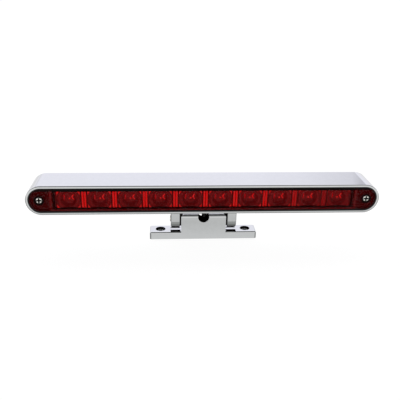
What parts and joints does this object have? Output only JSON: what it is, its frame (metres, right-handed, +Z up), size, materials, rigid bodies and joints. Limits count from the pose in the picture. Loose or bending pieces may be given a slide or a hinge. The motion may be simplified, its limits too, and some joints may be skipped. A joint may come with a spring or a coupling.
{
  "type": "third brake light",
  "caption": "Slim round-ended third brake light: a red LED lens in a chrome housing that tilts on a chrome two-screw pedestal.",
  "frame": {"origin": "centre of the pedestal foot's underside, the face that is screwed down", "axes": "+X along the light bar, -Y the way the lens faces, +Z up out of the mounting surface"},
  "size_m": [0.2286, 0.0254, 0.044],
  "materials": {
    "chrome_cast": "bright mirror chrome plating on a casting",
    "screw_steel": "bright zinc-plated steel",
    "black_nylon": "matte black nylon",
    "red_lens": "glossy clear red moulding",
    "red_optic": "glossy moulded optic seen through the red lens",
    "black_rubber": "soft matte black rubber",
    "black_plastic": "fine-textured black moulding",
    "board": "green solder mask",
    "black_chip": "matte black moulded chip",
    "led_package": "pale LED package with a clear dome",
    "red_insulation": "red PVC insulation",
    "black_insulation": "black PVC insulation"
  },
  "bodies": {
    "pedestal": {"pedestal": "chrome_cast", "pivot_screw_left": "screw_steel", "pivot_screw_right": "screw_steel", "tilt_washer_left": "black_nylon", "tilt_washer_right": "black_nylon"},
    "light_bar": {"housing": "chrome_cast", "lens": "red_lens", "lens_gasket": "black_rubber", "lens_screw_left": "screw_steel", "lens_screw_right": "screw_steel", "optic_strip": "red_optic", "lamp_case": "black_plastic", "circuit_board": "board", "led_01": "led_package", "led_02": "led_package", "led_03": "led_package", "led_04": "led_package", "led_05": "led_package", "led_06": "led_package", "led_07": "led_package", "led_08": "led_package", "led_09": "led_package", "led_10": "led_package", "resistors": "black_chip", "polarity_diode": "black_chip", "lead_seal": "black_rubber", "lead_positive": "red_insulation", "lead_negative": "black_insulation", "grommet": "black_rubber"}
  },
  "joints": [
    {"name": "tilt", "type": "hinge", "parent": "pedestal", "child": "light_bar", "pos_m": [0, 0, 0.01325], "axis": [1, 0, 0], "range_deg": [-45, 45]}
  ]
}
